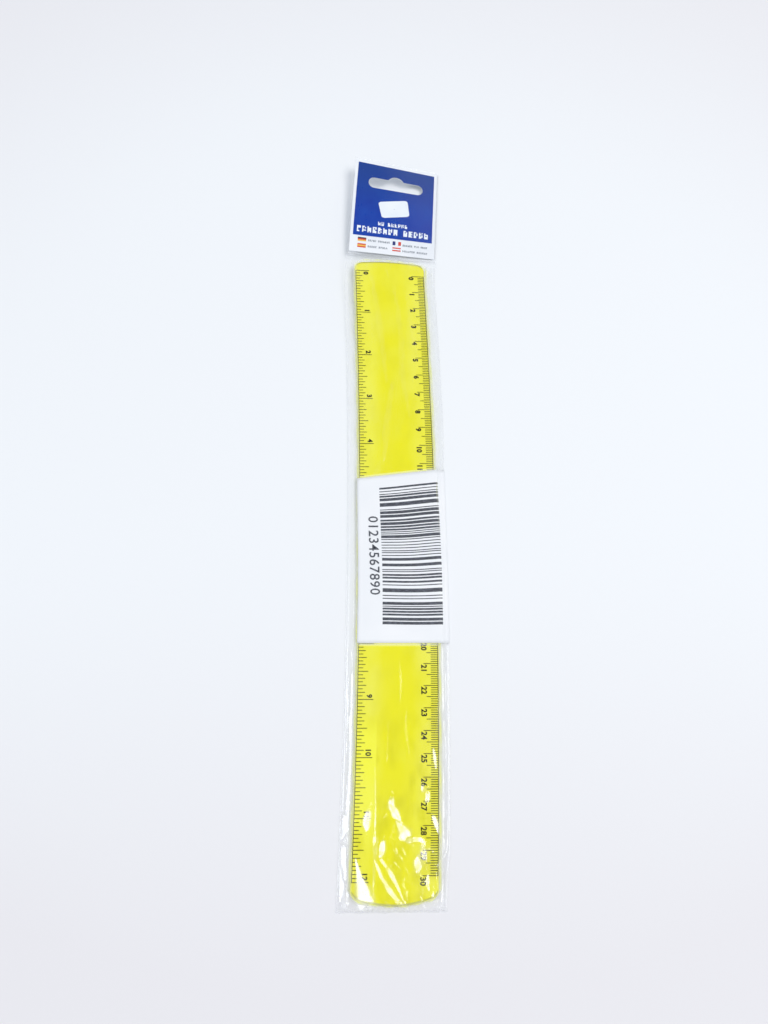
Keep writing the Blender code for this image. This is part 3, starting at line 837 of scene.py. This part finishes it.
def bagFullness(u, v):
    # 1 over the blade, falling to 0 at the side welds, the foot and the neck
    side = ramp(abs(u), pack["plyHalf"], pack["shoulderHalf"] - pack["plyHalf"])
    return side * ramp(v, pack["footEdge"], 0.7) * ramp(v, pack["neckEdge"], -1.3)


def cardFullness(u, v):
    # 1 over the card, falling to 0 at its edges
    side = ramp(abs(u), pack["plyHalf"], -0.6)
    return side * ramp(v, pack["cardFoot"] - 0.5, 0.5) * ramp(v, pack["topEdge"], -0.6)


# each ply's height over the seam, the blade and the card
plies = dict(
    front=dict(seam=film3d["seamGap"], blade=1.92, card=1.31),
    back=dict(seam=-film3d["seamGap"], blade=0.27, card=0.5),
)


def plyHeight(u, v, ply):
    # a ply without its creases: from the seam to its height over the blade and over the card
    low = seamHeight(v) + plies[ply]["seam"]
    bag = (plies[ply]["blade"] - low) * bagFullness(u, v)
    return low + bag + (plies[ply]["card"] - low) * cardFullness(u, v)


def creased(u, v):
    # sheens, stray creases and slow waves added up, held flat under the label and at the seams,
    # and how much each point belongs to a crease
    total, sheen = np.zeros(u.shape), np.zeros(u.shape)
    for strength, lift, fall, *path in sheens:
        rise, lit = facetRise(u, v, path, film3d["slope"] * lift, fall)
        total, sheen = np.maximum(total, rise), np.maximum(sheen, lit * strength)
    calm = 1 - np.minimum(sheen, 1)
    for path in straySet:
        rise, lit = facetRise(u, v, path, film3d["slope"] * film3d["straySlope"])
        startU, startV, _ = path[0]
        onBlade = abs(startU) < pack["bladeHalf"] and startV > film3d["cornersBelow"]
        strength = film3d["strayOnBlade"] if onBlade else film3d["stray"]
        total, sheen = total + rise * calm, np.maximum(sheen, lit * strength)
    # the right shoulder faces the light, so all of it shines a little, as do the foot's sides
    right = ramp(u, *film3d["rightFrom"])
    foot = ramp(v, *film3d["footAlong"]) * ramp(abs(u), *film3d["footAcross"])
    sheen = np.maximum(sheen, film3d["rightShine"] * right)
    sheen = np.maximum(sheen, film3d["footShine"] * foot)
    patches = waveSum(u, v, mottleWaves, 2.38, 1.7, 6.3) / 4
    sheen = sheen * np.clip(0.9 + 0.2 * patches, 0.5, 1.1)
    crumpled = ramp(v, *film3d["crumpleAlong"]) + 0.6 * ramp(abs(u), *film3d["crumpleAcross"])
    total = total + film3d["mottleLift"] * np.abs(patches) * np.minimum(crumpled, 1) * calm
    total = total + np.maximum(filmSag(u, v), -0.02) * (0.3 + 0.7 * calm)
    loose = clearOfLabel(v) * ramp(v, *film3d["neck"])
    brim = ramp(abs(u), *film3d["brimSide"]) * ramp(v, pack["footEdge"], 1.0)
    return total * loose * brim, sheen * loose


def packRows(low, high, fineStep):
    # steps along the pack: fine near the foot, short at the label's ends and at the neck
    fine, plain = film3d["fineBelow"], film3d["plainStep"]
    foot, top = labelPlace["foot"], labelPlace["foot"] + labelPlace["leftHeight"]
    stops = [
        (low, fine, fineStep), (fine, foot - 3, plain),
        (foot - 3, foot + 1, film3d["labelFootStep"]), (foot + 1, top - 1, plain),
        (top - 1, top + 8, film3d["labelTopStep"]), (top + 8, pack["neckFrom"], plain),
        (pack["neckFrom"], pack["neckTo"], film3d["neckStep"]), (pack["neckTo"], high, plain),
    ]
    return np.concatenate([stepsBetween(*stop)[:-1] for stop in stops] + [[high]])


def packColumns(fine):
    # close together on the side strips, wider apart over the blade
    half, turn = pack["plyHalf"] + 0.1, film3d["sideFrom"]
    if not fine:
        return stepsBetween(-half, half, film3d["plainStep"])
    side = stepsBetween(turn, half, film3d["sideStep"])
    middle = stepsBetween(-turn, turn, film3d["middleStep"])[1:-1]
    return np.concatenate([-side[::-1], middle, side])


slot = dict(
    length=31.5, height=6.5, drop=11.5, top=69.4, hump=2.5, humpRadius=5.2, rowsFrom=50, rowsTo=66,
)


def slotOutline():
    # round ends, and a round hump in the middle of the upper side
    middle, half = slot["top"] - slot["drop"], slot["height"] / 2
    reach, hump = slot["length"] / 2 - half, slot["humpRadius"]
    centre = middle + half + slot["hump"] - hump
    foot = math.degrees(math.asin((hump - slot["hump"]) / hump))
    return np.concatenate([
        arcPoints(reach, middle, half, -90, 90, 13),
        arcPoints(0, centre, hump, foot, 180 - foot, 15),
        arcPoints(-reach, middle, half, 90, 270, 13),
    ])


def snapToOutline(u, v, outline, reach):
    # points within reach of the outline move onto it
    start, end = outline, np.roll(outline, -1, 0)
    points = np.stack([u.ravel(), v.ravel()], -1)
    along = end - start
    share = ((points[:, None] - start) * along).sum(-1) / (along**2).sum(-1)
    spots = start + np.clip(share, 0, 1)[..., None] * along
    distance = np.hypot(*(points[:, None] - spots).transpose(2, 0, 1))
    best = distance.argmin(1)
    chosen = spots[np.arange(len(points)), best]
    moved = np.where(distance.min(1)[:, None] < reach, chosen, points)
    return moved[:, 0].reshape(u.shape), moved[:, 1].reshape(v.shape)


def insideOutline(u, v, outline):
    # even-odd rule: how many edges a ray to the right crosses
    (u0, v0), (u1, v1) = outline.T[:, None], np.roll(outline, -1, 0).T[:, None]
    crosses = (v0 > v[:, None]) != (v1 > v[:, None])
    with np.errstate(divide="ignore", invalid="ignore"):
        at = u0 + (v[:, None] - v0) / (v1 - v0) * (u1 - u0)
    return (crosses & (u[:, None] < at)).sum(1) % 2 == 1


def bendAtNeck(piece):
    # the ends of a short run about the fold line are found but not used; the piece's place is
    # baked into its mesh
    ends = (pack["bendStart"], pack["bendEnd"])
    start, end = (tuple(layPack(0.0, place, pack["seamHigh"])) for place in ends)
    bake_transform(piece)


def filmPly(name, ply, creases, replaced):
    # one sheet from the foot weld to the header's top weld, with the hang slot cut out
    fineStep = film3d["fineStep"] if creases else film3d["plainStep"]
    rows = packRows(pack["footEdge"], pack["topEdge"], fineStep)
    v, u = np.meshgrid(rows, packColumns(creases), indexing="ij")
    outline = slotOutline()
    near = (v[:, 0] > slot["rowsFrom"]) & (v[:, 0] < slot["rowsTo"])
    u[near], v[near] = snapToOutline(u[near], v[near], outline, film3d["plainStep"] / 2)
    w, values = plyHeight(u, v, ply), {}
    if creases:
        rise, sheen = creased(u, v)
        w, values = w + rise, dict(haze=filmVeil(u, v), glow=edgeGlow(u, v), sheen=sheen)
    quads = gridQuads(*u.shape)
    centreU, centreV = u.ravel()[quads].mean(1), v.ravel()[quads].mean(1)
    quads = quads[~insideOutline(centreU, centreV, outline)]
    spots = layPack(*drawIn(u, v), w)
    piece = makePiece(name, spots, quads, [film], values=values)
    bendAtNeck(piece)
    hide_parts(*replaced)
    return piece


filmPly("frontFilm", "front", True, ["bag_front_film", "header_front_film"])
filmPly("backFilm", "back", False, ["bag_back_film", "header_back_film"])
print("film plies made")


# ---- the bead round the edge

bead = dict(
    foot=-314.8, top=72.1, radius=0.26, sides=8, step=1.4, neckStep=0.45, ripple=0.05,
    fastWave=0.9, slowWave=0.23,
)


def edgeBead():
    # a closed tube round the pack's outline, its radius rippled by a slow and a fast wave
    side, neckFrom, neckTo = pack["weldLine"], pack["neckFrom"], pack["neckTo"]
    rise = np.concatenate([
        stepsBetween(bead["foot"], neckFrom, bead["step"])[:-1],
        stepsBetween(neckFrom, neckTo, bead["neckStep"])[:-1],
        stepsBetween(neckTo, bead["top"], bead["step"]),
    ])
    run = stepsBetween(-side, side, bead["step"])[1:-1]
    up, over = np.full(len(rise), side), np.ones(len(run))
    u = np.concatenate([-up, run, up, run[::-1]])
    v = np.concatenate([rise, over * bead["top"], rise[::-1], over * bead["foot"]])
    centre = layPack(*drawIn(u, v), seamHeight(v)) / pack["millimetre"]
    travel = np.arange(len(u)) * bead["step"]
    waves = np.sin(travel * bead["fastWave"]) * 0.5 + np.sin(travel * bead["slowWave"]) * 0.5
    points, quads = tubeAlong(centre, bead["radius"] + bead["ripple"] * waves, bead["sides"])
    piece = makePiece("edgeBead", points, quads, [sealFilm])
    bendAtNeck(piece)
    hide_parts("left_side_weld", "right_side_weld", "bottom_weld",
                "header_left_weld", "header_right_weld", "header_top_weld")
    return piece


edgeBead()
print("edge bead made")


# ---- the seal under the card

seal = dict(
    foot=11.1, head=13.0, rowStep=0.24, step=0.22, rib=0.07, pitch=1.1, line=12.3, lineWidth=0.45,
    sunk=0.02, haze=0.1, ribHaze=0.5,
)


def heatSeal():
    # a band of short ribs: a wave along it, strongest on its middle line
    v, u = np.meshgrid(
        stepsBetween(seal["foot"], seal["head"], seal["rowStep"]),
        stepsBetween(-pack["plyHalf"], pack["plyHalf"], seal["step"]), indexing="ij",
    )
    wave = 0.5 + 0.5 * np.sin(u * 2 * math.pi / seal["pitch"])
    ribs = wave * ridge(v, seal["line"], seal["lineWidth"])
    spots = layPack(u, v, pack["seamHigh"] - seal["sunk"] + seal["rib"] * ribs)
    piece = makePiece("heatSeal", spots, gridQuads(*u.shape), [sealFilm],
                      "header", values=dict(haze=seal["haze"] + seal["ribHaze"] * ribs))
    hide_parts("header_seal")
    return piece


heatSeal()


# ---- the card's print

dress("header_card", printed["whiteBoard"])
dress("header_panel_print", printed["panelBlue"])

card = dict(
    boardPrint=1.15, panelPrint=1.25, seed=5, space=0.9, inked=0.58, letterWidth=0.73,
    tag=[(-6.7, 36.1), (8.9, 39.3), (7.1, 49.6), (-9.4, 46.0)], tagRound=0.12,
)
# rows of stand-ins for words: left, right, foot and head, and how many letters each word has
panelRows = [(-8.6, 8.4, 31.1, 33.4, [2, 6]), (-20.2, 20.6, 25.9, 29.7, [8, 5])]
boardRows = [
    (-13.5, -1.2, 20.4, 21.6, [5, 7]), (-13.5, -2.2, 16.6, 17.8, [5, 5]),
    (5.9, 19.8, 19.6, 20.8, [6, 3, 4]), (5.9, 20.1, 15.9, 17.1, [7, 6]),
]
# small flags: left, right, foot and head, the stripes from the top or the left, and whether
# they stand upright
flags = [
    (-19.3, -14.6, 20.1, 22.5, ["inkBlack", "inkRed", "inkGold"], False),
    (-19.3, -14.6, 16.2, 18.6, ["inkRed", "inkGold", "inkRed"], False),
    (0.2, 4.9, 19.8, 22.2, ["inkNavy", "inkWhite", "inkRed"], True),
    (0.2, 4.9, 16.0, 18.4, ["inkRed", "inkWhite", "inkRed"], False),
]
flagSlots = dict(
    inkBlack="black_ink", inkRed="panel_blue", inkGold="panel_blue", inkNavy="panel_blue",
    inkWhite="card_board",
)


def between(corners, s, t):
    # the point at shares s across and t up between four corners, from the lower left round
    lowerLeft, lowerRight, upperRight, upperLeft = (np.array(corner, float) for corner in corners)
    foot, head = lowerLeft * (1 - s) + lowerRight * s, upperLeft * (1 - s) + upperRight * s
    return foot * (1 - t) + head * t


def block(left, right, low, high, columns=2):
    # an upright rectangle in one row of quads
    s, t = np.meshgrid(np.linspace(0, 1, columns + 1), [0.0, 1.0])
    corners = [(left, low), (right, low), (right, high), (left, high)]
    return between(corners, s.ravel()[:, None], t.ravel()[:, None]), gridQuads(2, columns + 1)


def roundedPatch(corners, radius, rings=4):
    # a rounded square's outline mapped between four corners, in rings that shrink to its middle
    far = 1 - radius
    turns = [(far, far, 0), (radius, far, 90), (radius, radius, 180), (far, radius, 270)]
    arcs = [arcPoints(s, t, radius, start, start + 90, 5) for s, t, start in turns]
    s, t = np.concatenate(arcs).T[:, :, None]
    outline = between(corners, s, t)
    middle = outline.mean(0)
    share = np.linspace(1, 0.02, rings)[:, None, None]
    points = (middle + (outline - middle) * share).reshape(-1, 2)
    count = len(outline)
    here = np.arange(rings - 1)[:, None] * count + np.arange(count)
    beside = np.roll(here, -1, 1)
    quads = np.stack([here, beside, beside + count, here + count], -1).reshape(-1, 4)
    return points, quads


def wordBlocks(left, right, low, high, words, dice):
    # stand-ins for words: each letter's place is a block of 3 x 5 cells, some of them left out
    unit = (right - left) / (sum(words) + card["space"] * (len(words) - 1))
    wide, tall = unit * card["letterWidth"] / 3, (high - low) / 5
    flats, at = [], left
    for count in words:
        for _ in range(count):
            cells = dice.random((5, 3)) < card["inked"]
            cells[:, 0] = True
            for row, column in zip(*np.nonzero(cells)):
                start, foot = at + column * wide, low + row * tall
                flats.append(block(start, start + wide, foot, foot + tall, 1))
            at += unit
        at += card["space"] * unit
    return flats


def stripes(left, right, low, high, inks, upright):
    # a flag's equal stripes, each as its ink and its block
    found = []
    for index, ink in enumerate(inks):
        start, end = index / len(inks), (index + 1) / len(inks)
        if upright:
            wide = right - left
            found.append((ink, block(left + wide * start, left + wide * end, low, high)))
        else:
            tall = high - low
            found.append((ink, block(left, right, high - tall * end, high - tall * start)))
    return found


def cardPrint():
    # a white patch and rows of blocks on the panel, small flags and grey rows on the board
    dice = np.random.default_rng(card["seed"])
    tag = [roundedPatch(card["tag"], card["tagRound"])]
    words = [flat for row in panelRows for flat in wordBlocks(*row, dice)]
    layPrint("cardTag", tag, card["panelPrint"], "inkWhite")
    layPrint("cardWords", words, card["panelPrint"], "inkWhite")
    parts = [part for flag in flags for part in stripes(*flag)]
    for ink, slotName in flagSlots.items():
        flats = [flat for partInk, flat in parts if partInk == ink]
        layPrint(ink.replace("ink", "flag"), flats, card["boardPrint"], ink)
    small = [flat for row in boardRows for flat in wordBlocks(*row, dice)]
    layPrint("cardSmallWords", small, card["boardPrint"], "inkGrey")


cardPrint()
print("card printed")


# ---- the label

label = dict(
    gap=0.13, thickness=0.07, swell=0.09, shoulder=24.2, under=14.6, underHeight=0.06,
    turnRadius=0.45, turnStart=70, turnEnd=-60, sectionAt=-160.0, barLeft=-7.4, barRight=21.6,
    barsLow=0.105, barsHigh=0.925, seed=23, drift=1.5, driftFrom=0.3, lift=0.35,
    text="01234567890", textBase=-14.3, textStart=-138.2, textSize=6.7, textBold=0.04,
    textSpacing=1.08, textLean=0.028, textLift=0.16, beforeBars=5, barColumns=22,
)


def labelSection():
    # across the front, down the shoulder, round the bead and back under the pack
    u = np.concatenate([
        np.linspace(labelPlace["left"], label["barLeft"], 9),
        np.linspace(label["barLeft"], label["barRight"], label["barColumns"])[1:],
        np.linspace(label["barRight"], label["shoulder"], 6)[1:],
    ])
    w = plyHeight(u, np.full(len(u), label["sectionAt"]), "front") + label["gap"]
    turn = arcPoints(pack["weldLine"], pack["seamLow"], label["turnRadius"],
                     label["turnStart"], label["turnEnd"], 8)
    under = np.linspace(pack["weldLine"], label["under"], 8)
    return (np.concatenate([u, turn[:, 0], under]),
            np.concatenate([w, turn[:, 1], np.full(len(under), label["underHeight"])]))


def barEdges():
    # shares of the label's height where bars begin and end, of one to four units each
    dice = np.random.default_rng(label["seed"])
    units = dice.choice([1, 1, 1, 2, 2, 3], 81)
    units[::2] += dice.choice([0, 0, 0, 1, 2], 41)
    edges = np.concatenate([[0], np.cumsum(units[::-1])]) / units.sum()
    return label["barsLow"] + (label["barsHigh"] - label["barsLow"]) * edges


def paperLabel():
    # the section carried along fanning rows, with slow ripples and a corner that lifts a little
    sectionU, sectionW = labelSection()
    edges = barEdges()
    before, after = np.linspace(0, edges[0], label["beforeBars"]), np.linspace(edges[-1], 1, 4)
    rows = np.concatenate([before[:-1], edges, after[1:]])
    t, column = np.meshgrid(rows, np.arange(len(sectionU)), indexing="ij")
    u, w = sectionU[column], sectionW[column]
    v = labelPoint(u, t)
    # the print drifts to the left towards the top
    reach = ramp(u, 24, -4) * (1 - 0.6 * ramp(u, -8, -8))
    u = u - label["drift"] * ramp(t, label["driftFrom"], 1 - label["driftFrom"]) * reach
    ripple = 0.05 * np.sin(u * 0.35 + v * 0.11) + 0.04 * np.sin(v * 0.33 - u * 0.2)
    lift = label["lift"] * ramp(t, 0.93, 0.07) * ramp(u, -12, -8)
    w = w + np.where(w > 1.0, ripple + label["swell"] + lift, 0)
    quads = gridQuads(*u.shape)
    piece = makePiece("paperLabel", layPack(drawIn(u, v)[0], v, w), quads,
                      [printed["labelPaper"], printed["barInk"]], "bag")
    row, cell = np.divmod(np.arange(len(quads)), len(sectionU) - 1)
    bar = row - (label["beforeBars"] - 1)
    inBars = (bar >= 0) & (bar < len(edges) - 1) & (bar % 2 == 0)
    inRun = (cell >= 8) & (cell < 8 + label["barColumns"] - 1)
    piece.data.polygons.foreach_set("material_index", (inBars & inRun).astype(np.int32))
    solidify = piece.modifiers.new("paper", "SOLIDIFY")
    solidify.thickness = label["thickness"] * pack["millimetre"]
    solidify.offset = 0.0
    solidify.material_offset = -1
    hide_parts("barcode_label")
    return piece


def labelNumbers():
    # a row of plain numbers beside the bars, leaning a little as it goes down
    flat = textFlat(label["text"], label["textSize"], label["textBold"], label["textSpacing"])
    points, triangles = downThePack(flat, label["textBase"], label["textStart"])
    points[:, 0] += (label["textStart"] - points[:, 1]) * label["textLean"]
    rise = label["gap"] + label["swell"] + label["textLift"]
    height = plyHeight(points[:, 0], points[:, 1], "front") + rise
    flats = [(points, triangles)]
    return layPrint("labelNumbers", flats, height, "barInk", "bag", 0.0)


paperLabel()
labelNumbers()
print("label made")


# ---- the table, the light and the camera

stageLook = dict(
    floor=(0.878, 0.897, 0.922, 1), low=(0.815, 0.80, 0.825, 1), far=(0.87, 0.895, 0.935, 1),
    sky=(0.90, 0.94, 1.0, 1), skyStrength=0.61, footBand=(0.02, 0.25), roundBand=(0.19, 0.44),
    fadeBand=(0.5, 1.5), half=6,
)


def paleFloor():
    # painted shade: the paper darkens a little before the foot of the pack and away from it, and
    # far from the part what the camera sees of it fades into the pale backdrop
    finish = Finish("paleFloor", Roughness=0.7, Specular_IOR_Level=0.2)
    tone = finish.noise(2.2, 2.0).band(0.3, 0.7)
    length = dict(operation="LENGTH")
    distance = finish.node("VectorMath", length, {0: finish.place()}, out="Value")
    share = (finish.axis(1) * -1).band(*stageLook["footBand"]) * 0.92
    share = share + distance.band(*stageLook["roundBand"]) * 0.8 + tone * 0.08
    finish.set(Base_Color=finish.mix(share.clamp(), stageLook["floor"], stageLook["low"]))
    seen = finish.node("LightPath", out="Is Camera Ray") * distance.band(*stageLook["fadeBand"])
    plain = finish.node("Emission", {}, {"Color": stageLook["far"]})
    finish.surface("Material Output", seen, finish.own, plain)
    mesh = bpy.data.meshes.new("floor")
    side = stageLook["half"]
    corners = [(-side, -side, 0), (side, -side, 0), (side, side, 0), (-side, side, 0)]
    mesh.from_pydata(corners, [], [(0, 1, 2, 3)])
    mesh.materials.append(finish.material)
    floor = addObject("floor", mesh)


def skyLight():
    # a soft sky lights the object; the camera, gloss and glass see the pale backdrop instead
    world = bpy.data.worlds.new("paleSky")
    bpy.context.scene.world = world
    world.use_nodes = True
    sky = Nodes(world.node_tree)
    either = 0.0
    for kind in ("Is Camera Ray", "Is Glossy Ray", "Is Transmission Ray"):
        ray = sky.node("LightPath", out=kind)
        either = sky.node("Math", dict(operation="MAXIMUM"), {0: ray, 1: either})
    look = dict(Color=stageLook["sky"], Strength=stageLook["skyStrength"])
    light = sky.node("Background", {}, look)
    plain = sky.node("Background", {}, dict(Color=stageLook["far"]))
    sky.surface("World Output", either, light, plain)


# towards is the lamp's direction from the part; share is how bright the lamp alone makes a
# white table; the first side of its size runs along the pack
lamps = dict(
    key=dict(
        towards=(0.47, -0.03, 0.88), distance=2.2, size=(1.21, 0.81), share=0.355,
        colour=(1.0, 0.985, 0.96),
    ),
    left=dict(
        towards=(-0.60, 0.0, 0.80), distance=2.2, size=(1.10, 0.44), share=0.15,
        colour=(0.95, 0.98, 1.0),
    ),
)


def softLamp(name, look):
    # its power grows with the square of its distance and with how low it stands
    lamp = bpy.data.lights.new(name, "AREA")
    lamp.shape = "RECTANGLE"
    lamp.size, lamp.size_y = look["size"]
    lamp.color = look["colour"]
    x, y, z = (part / math.hypot(*look["towards"]) for part in look["towards"])
    lamp.energy = look["share"] * math.pi**2 * look["distance"] ** 2 / z
    holder = addObject(name, lamp)
    holder.location = (x * look["distance"], y * look["distance"], z * look["distance"])
    holder.rotation_mode = "QUATERNION"
    holder.rotation_quaternion = Vector((x, y, z)).to_track_quat("Z", "Y")
    return holder


# place in metres, turn in degrees, focal length and the picture's height in pixels
view = dict(
    place=(-0.01665, -0.13330, 0.36312), turn=(18.106, -1.659, -0.316), focal=769,
    frameHeight=1024, sensor=36.0, clipStart=0.01,
)


def addCamera():
    # the lens is the focal length as a share of the picture's longer side, times the sensor
    lens = bpy.data.cameras.new("camera")
    lens.sensor_width = view["sensor"]
    lens.lens = view["focal"] / view["frameHeight"] * view["sensor"]
    lens.clip_start = view["clipStart"]
    camera = addObject("camera", lens)
    camera.location = view["place"]
    camera.rotation_euler = [math.radians(angle) for angle in view["turn"]]
    bpy.context.scene.camera = camera


paleFloor()
skyLight()
for lampName, lampLook in lamps.items():
    softLamp(lampName, lampLook)
addCamera()
bpy.context.scene.view_settings.view_transform = "Standard"
print("table, light and camera set")

bpy.context.view_layer.update()
